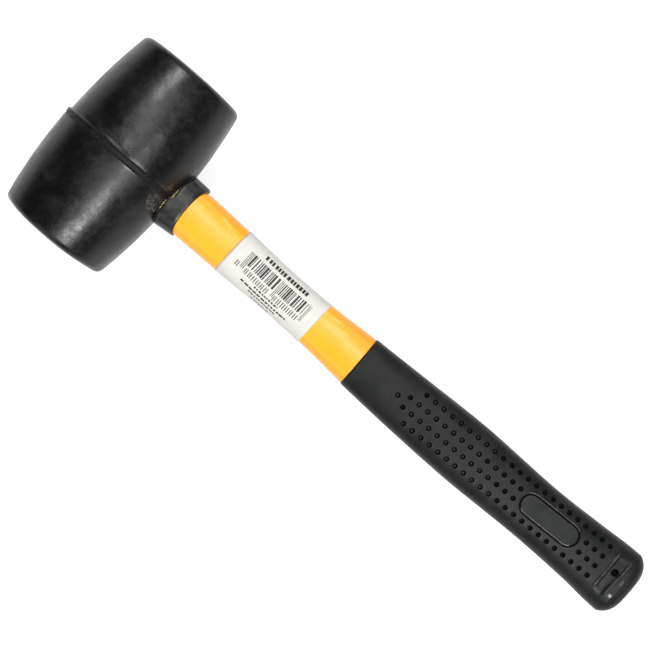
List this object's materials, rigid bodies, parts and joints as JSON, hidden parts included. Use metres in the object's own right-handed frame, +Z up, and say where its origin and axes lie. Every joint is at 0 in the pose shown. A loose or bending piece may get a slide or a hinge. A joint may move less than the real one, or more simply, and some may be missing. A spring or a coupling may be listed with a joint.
{
  "type": "rubber mallet",
  "caption": "Barrel-headed black rubber mallet with a waisted yellow fibreglass-cored handle, a dimpled rubber grip and a hang hole in the butt.",
  "frame": {"origin": "middle of the underside of the box round the mallet as it lies on its side", "axes": "+X along the handle from the head towards the butt, +Y along the head's axis, +Z up, out of the handle's broad face"},
  "size_m": [0.329, 0.097, 0.0644],
  "materials": {
    "head_rubber": "dusty moulded black rubber, soft sheen",
    "cured_adhesive": "cured amber epoxy",
    "fibreglass": "drawn glass fibre in resin",
    "yellow_plastic": "moulded yellow plastic, satin",
    "collar_rubber": "smooth black rubber",
    "squeezed_glue": "glossy amber glue",
    "label_paper": null,
    "grip_rubber": "satin moulded black rubber with dimples"
  },
  "bodies": {
    "root": {"rubber_head": "head_rubber", "socket_adhesive": "cured_adhesive", "fibreglass_core": "fibreglass", "shaft_jacket": "yellow_plastic", "neck_collar": "collar_rubber", "glue_bead": "squeezed_glue", "barcode_label": "label_paper", "grip_sleeve": "grip_rubber"}
  },
  "joints": []
}
